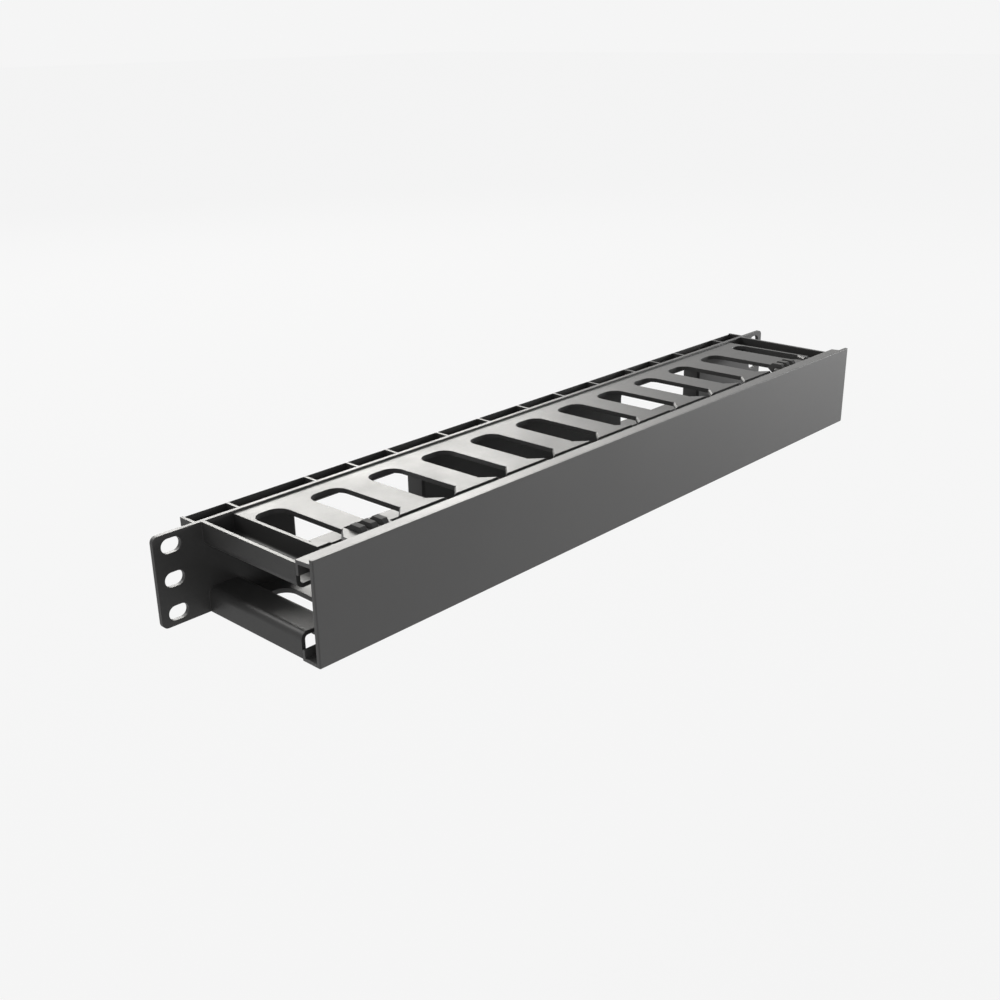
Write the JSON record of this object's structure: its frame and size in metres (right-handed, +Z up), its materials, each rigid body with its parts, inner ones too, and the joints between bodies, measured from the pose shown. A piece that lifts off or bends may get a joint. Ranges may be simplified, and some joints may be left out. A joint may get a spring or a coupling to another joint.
{
  "type": "horizontal cable manager",
  "caption": "Moulded rack cable duct with slotted finger walls, ears with slotted holes, rear windows and a front cover that hinges upwards.",
  "frame": {"origin": "centre of the four outer ear slots, on the plane of the ears' back faces, where they meet the rack's rails", "axes": "+X along the rack's width to the right as seen from the front, -Y to the front, +Z up"},
  "size_m": [0.4826, 0.0894, 0.0487],
  "materials": {
    "duct_body": "satin black moulded plastic",
    "hinged_cover": "satin black moulded plastic"
  },
  "bodies": {
    "duct": {"duct_body": "duct_body"},
    "cover": {"hinged_cover": "hinged_cover"}
  },
  "joints": [
    {"name": "cover_hinge", "type": "hinge", "parent": "duct", "child": "cover", "pos_m": [0, -0.0605, 0.0204], "axis": [-1, 0, 0], "range_deg": [0, 140]}
  ]
}
